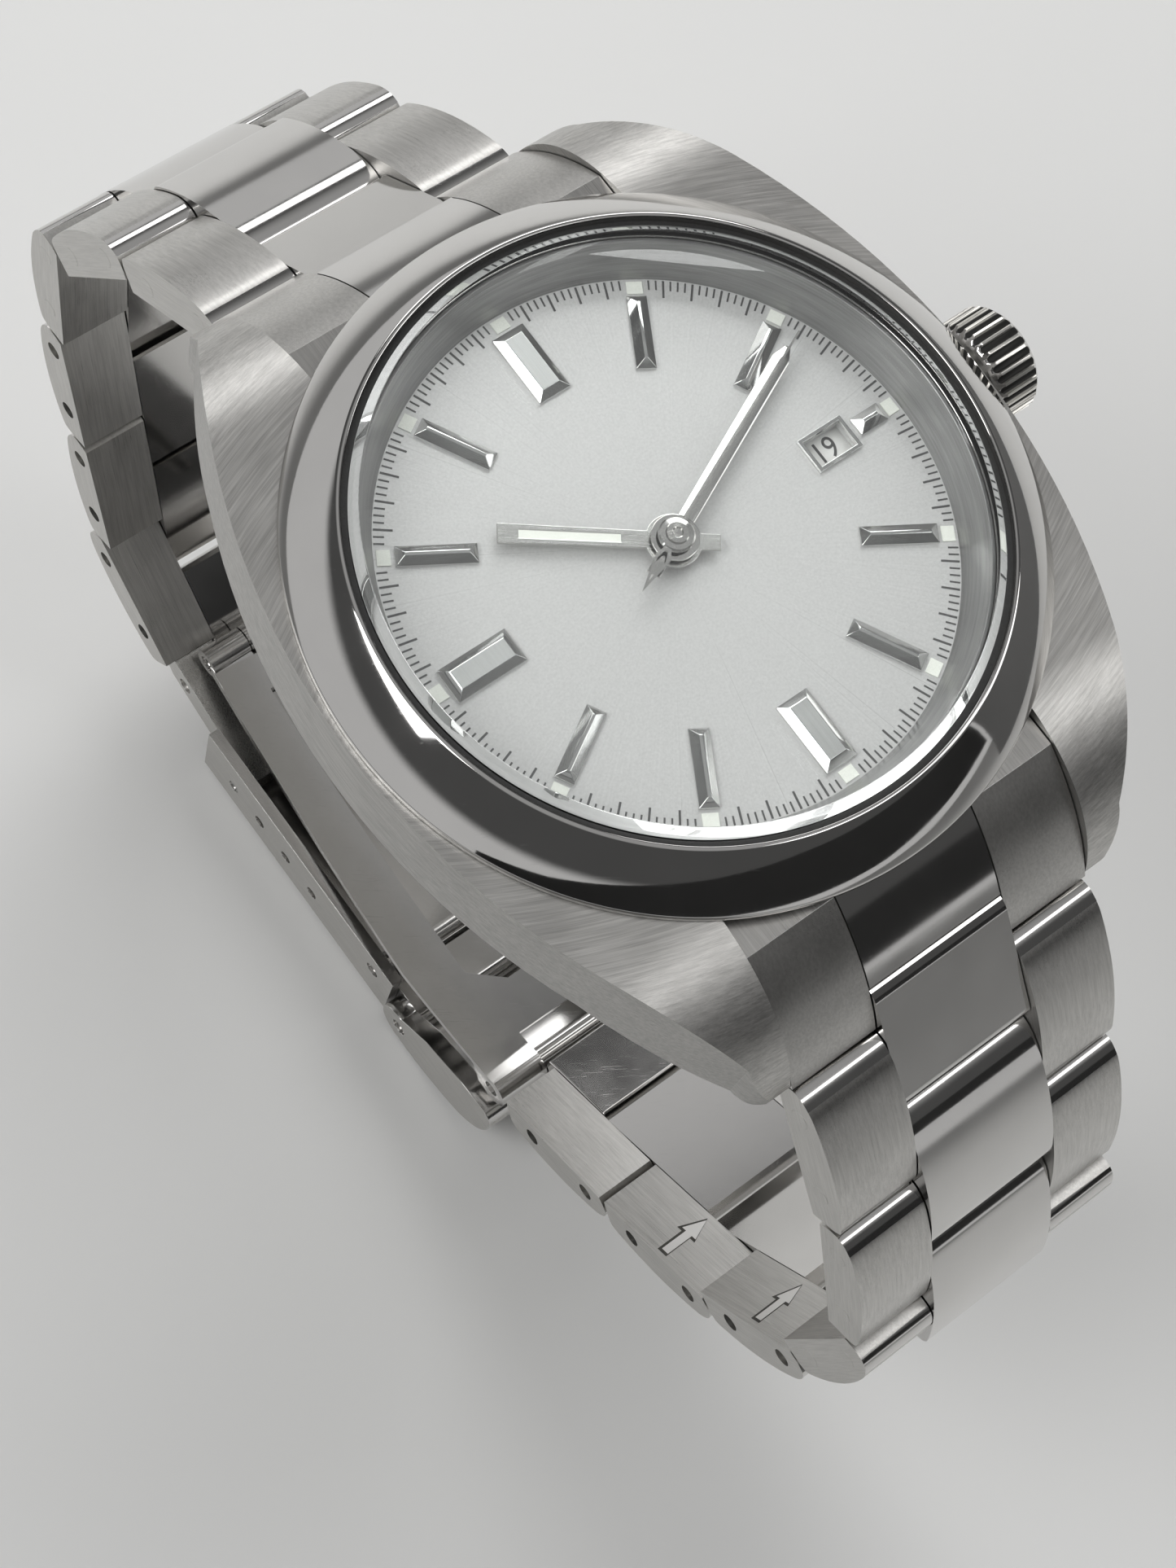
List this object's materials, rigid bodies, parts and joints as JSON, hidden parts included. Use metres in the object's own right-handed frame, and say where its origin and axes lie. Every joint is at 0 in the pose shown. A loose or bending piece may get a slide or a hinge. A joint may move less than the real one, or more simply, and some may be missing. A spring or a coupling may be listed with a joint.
{
  "type": "wristwatch",
  "caption": "Self-winding steel wristwatch with a date window, on a three-row link bracelet with a folding clasp, closed as worn.",
  "frame": {"origin": "middle of the case back's flat outer face", "axes": "+Z is the dial's normal, +X points at 3 o'clock and the crown, +Y at 12 o'clock; the closed bracelet hangs below z = 0"},
  "size_m": [0.0439, 0.0836, 0.0735],
  "materials": {
    "brushed_links": "fine straight brushing along the link",
    "polished_links": "polished",
    "case_steel": "brushed tops, satin flanks",
    "bezel_steel": "mirror polished",
    "clasp_steel": "brushed outside, polished inside",
    "back_steel": "polished",
    "pin_steel": "ground",
    "sapphire": "clear, bevelled",
    "gasket_black": "matt",
    "dial_silver": "silvered, sunburst",
    "flange_dark": "dark brushed",
    "marker_steel": "faceted, rhodium plated",
    "hand_steel": "rhodium plated",
    "date_white": "white lacquer with black numerals",
    "movement_plate": "rhodium plated, grained",
    "wheel_brass": "gilt",
    "rotor_steel": "striped",
    "screw_steel": "polished"
  },
  "bodies": {
    "head": {"mid_case": "case_steel", "bezel": "bezel_steel", "crystal": "sapphire", "gaskets": "gasket_black", "case_back": "back_steel", "dial": "dial_silver", "dial_flange": "flange_dark", "hour_markers": "marker_steel", "main_plate": "movement_plate", "movement_ring": "movement_plate", "train_bridge": "movement_plate", "balance_cock": "movement_plate", "movement_screws": "screw_steel", "crown_tube": "pin_steel", "spring_bars": "pin_steel", "end_links": "case_steel"},
    "hour_hand": {"hour_hand": "hand_steel"},
    "minute_hand": {"minute_hand": "hand_steel"},
    "second_hand": {"second_hand": "hand_steel"},
    "date_disc": {"date_disc": "date_white"},
    "barrel": {"barrel": "wheel_brass"},
    "escape_wheel": {"escape_wheel": "wheel_brass"},
    "pallet_fork": {"pallet_fork": "screw_steel"},
    "balance_wheel": {"balance_wheel": "wheel_brass"},
    "rotor": {"rotor": "rotor_steel"},
    "stem": {"setting_lever": "screw_steel"},
    "crown": {"crown": "case_steel", "winding_stem": "pin_steel"},
    "first_link_12": {"centre_link_12_0": "polished_links"},
    "row_12_1": {"outer_links_12_1": "brushed_links", "centre_link_12_1": "polished_links"},
    "row_12_2": {"outer_links_12_2": "brushed_links", "centre_link_12_2": "polished_links"},
    "row_12_3": {"outer_links_12_3": "brushed_links", "centre_link_12_3": "polished_links"},
    "row_12_4": {"outer_links_12_4": "brushed_links", "centre_link_12_4": "polished_links"},
    "row_12_5": {"outer_links_12_5": "brushed_links", "centre_link_12_5": "polished_links"},
    "row_12_6": {"outer_links_12_6": "brushed_links", "centre_link_12_6": "polished_links"},
    "first_link_6": {"centre_link_6_0": "polished_links"},
    "row_6_1": {"outer_links_6_1": "brushed_links", "centre_link_6_1": "polished_links"},
    "row_6_2": {"outer_links_6_2": "brushed_links", "centre_link_6_2": "polished_links"},
    "row_6_3": {"outer_links_6_3": "brushed_links", "centre_link_6_3": "polished_links"},
    "row_6_4": {"outer_links_6_4": "brushed_links", "centre_link_6_4": "polished_links"},
    "row_6_5": {"outer_links_6_5": "brushed_links", "centre_link_6_5": "polished_links"},
    "row_6_6": {"outer_links_6_6": "brushed_links", "centre_link_6_6": "polished_links"},
    "clasp_end": {"clasp_end_link": "clasp_steel"},
    "clasp": {"clasp_shell": "clasp_steel", "clasp_spring_bar": "pin_steel"},
    "outer_blade": {"outer_blade": "clasp_steel"},
    "inner_blade": {"inner_blade": "clasp_steel"},
    "safety_catch": {"safety_catch": "clasp_steel"}
  },
  "joints": [
    {"name": "minute_turn", "type": "hinge", "parent": "head", "child": "minute_hand", "pos_m": [0, 0, 0.007], "axis": [0, 0, -1], "continuous": true},
    {"name": "hour_turn", "type": "hinge", "parent": "head", "child": "hour_hand", "pos_m": [0, 0, 0.007], "axis": [0, 0, -1], "continuous": true},
    {"name": "second_turn", "type": "hinge", "parent": "head", "child": "second_hand", "pos_m": [0, 0, 0.007], "axis": [0, 0, -1], "continuous": true},
    {"name": "date_turn", "type": "hinge", "parent": "head", "child": "date_disc", "pos_m": [0, 0, 0.0057], "axis": [0, 0, -1], "continuous": true},
    {"name": "barrel_turn", "type": "hinge", "parent": "head", "child": "barrel", "pos_m": [-0.0052, 0.0046, 0.0035], "axis": [0, 0, -1], "continuous": true},
    {"name": "escape_turn", "type": "hinge", "parent": "head", "child": "escape_wheel", "pos_m": [-0.00341, -0.00821, 0.0035], "axis": [0, 0, -1], "continuous": true},
    {"name": "pallet_swing", "type": "hinge", "parent": "head", "child": "pallet_fork", "pos_m": [-0.0002, -0.0074, 0.0035], "axis": [0, 0, 1], "range_deg": [-5, 5]},
    {"name": "balance_swing", "type": "hinge", "parent": "head", "child": "balance_wheel", "pos_m": [0.0052, -0.006, 0.0035], "axis": [0, 0, 1], "range_deg": [-270, 270]},
    {"name": "rotor_turn", "type": "hinge", "parent": "head", "child": "rotor", "pos_m": [0, 0, 0.0019], "axis": [0, 0, 1], "continuous": true},
    {"name": "crown_pull", "type": "slide", "parent": "head", "child": "stem", "axis": [1, 0, 0], "range_m": [0, 0.0018]},
    {"name": "crown_turn", "type": "hinge", "parent": "stem", "child": "crown", "pos_m": [0.02, 0, 0.004], "axis": [1, 0, 0], "continuous": true},
    {"name": "first_link_12_hinge", "type": "hinge", "parent": "head", "child": "first_link_12", "pos_m": [0, 0.02324, 0.00137], "axis": [1, 0, 0], "range_deg": [0, 6]},
    {"name": "row_12_1_hinge", "type": "hinge", "parent": "first_link_12", "child": "row_12_1", "pos_m": [0, 0.0263, -0.0012], "axis": [1, 0, 0], "range_deg": [0, 6]},
    {"name": "row_12_2_hinge", "type": "hinge", "parent": "row_12_1", "child": "row_12_2", "pos_m": [0, 0.03524, -0.00794], "axis": [1, 0, 0], "range_deg": [0, 25]},
    {"name": "row_12_3_hinge", "type": "hinge", "parent": "row_12_2", "child": "row_12_3", "pos_m": [0, 0.04151, -0.01723], "axis": [1, 0, 0], "range_deg": [0, 43]},
    {"name": "row_12_4_hinge", "type": "hinge", "parent": "row_12_3", "child": "row_12_4", "pos_m": [0, 0.04092, -0.02841], "axis": [1, 0, 0], "range_deg": [0, 18]},
    {"name": "row_12_5_hinge", "type": "hinge", "parent": "row_12_4", "child": "row_12_5", "pos_m": [0, 0.03812, -0.03925], "axis": [1, 0, 0], "range_deg": [0, 8]},
    {"name": "row_12_6_hinge", "type": "hinge", "parent": "row_12_5", "child": "row_12_6", "pos_m": [0, 0.03503, -0.05002], "axis": [1, 0, 0], "range_deg": [0, 40]},
    {"name": "first_link_6_hinge", "type": "hinge", "parent": "head", "child": "first_link_6", "pos_m": [0, -0.02368, 0.00182], "axis": [-1, 0, 0], "range_deg": [0, 6]},
    {"name": "row_6_1_hinge", "type": "hinge", "parent": "first_link_6", "child": "row_6_1", "pos_m": [0, -0.0263, -0.0012], "axis": [-1, 0, 0], "range_deg": [0, 6]},
    {"name": "row_6_2_hinge", "type": "hinge", "parent": "row_6_1", "child": "row_6_2", "pos_m": [0, -0.03288, -0.01026], "axis": [-1, 0, 0], "range_deg": [0, 17]},
    {"name": "row_6_3_hinge", "type": "hinge", "parent": "row_6_2", "child": "row_6_3", "pos_m": [0, -0.03762, -0.02041], "axis": [-1, 0, 0], "range_deg": [0, 41]},
    {"name": "row_6_4_hinge", "type": "hinge", "parent": "row_6_3", "child": "row_6_4", "pos_m": [0, -0.03567, -0.03144], "axis": [-1, 0, 0], "range_deg": [0, 31]},
    {"name": "row_6_5_hinge", "type": "hinge", "parent": "row_6_4", "child": "row_6_5", "pos_m": [0, -0.02925, -0.04062], "axis": [-1, 0, 0], "range_deg": [0, 27]},
    {"name": "row_6_6_hinge", "type": "hinge", "parent": "row_6_5", "child": "row_6_6", "pos_m": [0, -0.01996, -0.04688], "axis": [-1, 0, 0], "range_deg": [0, 10]},
    {"name": "clasp_end_hinge", "type": "hinge", "parent": "row_12_6", "child": "clasp_end", "pos_m": [0, 0.02645, -0.05722], "axis": [1, 0, 0], "range_deg": [0, 20]},
    {"name": "clasp_bar_hinge", "type": "hinge", "parent": "clasp_end", "child": "clasp", "pos_m": [0, 0.01886, -0.0594], "axis": [1, 0, 0], "range_deg": [0, 8]},
    {"name": "outer_blade_hinge", "type": "hinge", "parent": "clasp", "child": "outer_blade", "pos_m": [0, 0.00206, -0.0584], "axis": [1, 0, 0], "range_deg": [0, 45]},
    {"name": "inner_blade_hinge", "type": "hinge", "parent": "outer_blade", "child": "inner_blade", "pos_m": [0, 0.02606, -0.054], "axis": [1, 0, 0], "range_deg": [-90, 0]},
    {"name": "safety_catch_hinge", "type": "hinge", "parent": "clasp", "child": "safety_catch", "pos_m": [0, -0.00204, -0.0604], "axis": [1, 0, 0], "range_deg": [0, 85]}
  ],
  "couplings": [
    {"joint": "hour_turn", "follows": "minute_turn", "ratio": 0.083333},
    {"joint": "barrel_turn", "follows": "minute_turn", "ratio": -0.1333},
    {"joint": "inner_blade_hinge", "follows": "outer_blade_hinge", "ratio": -2}
  ]
}
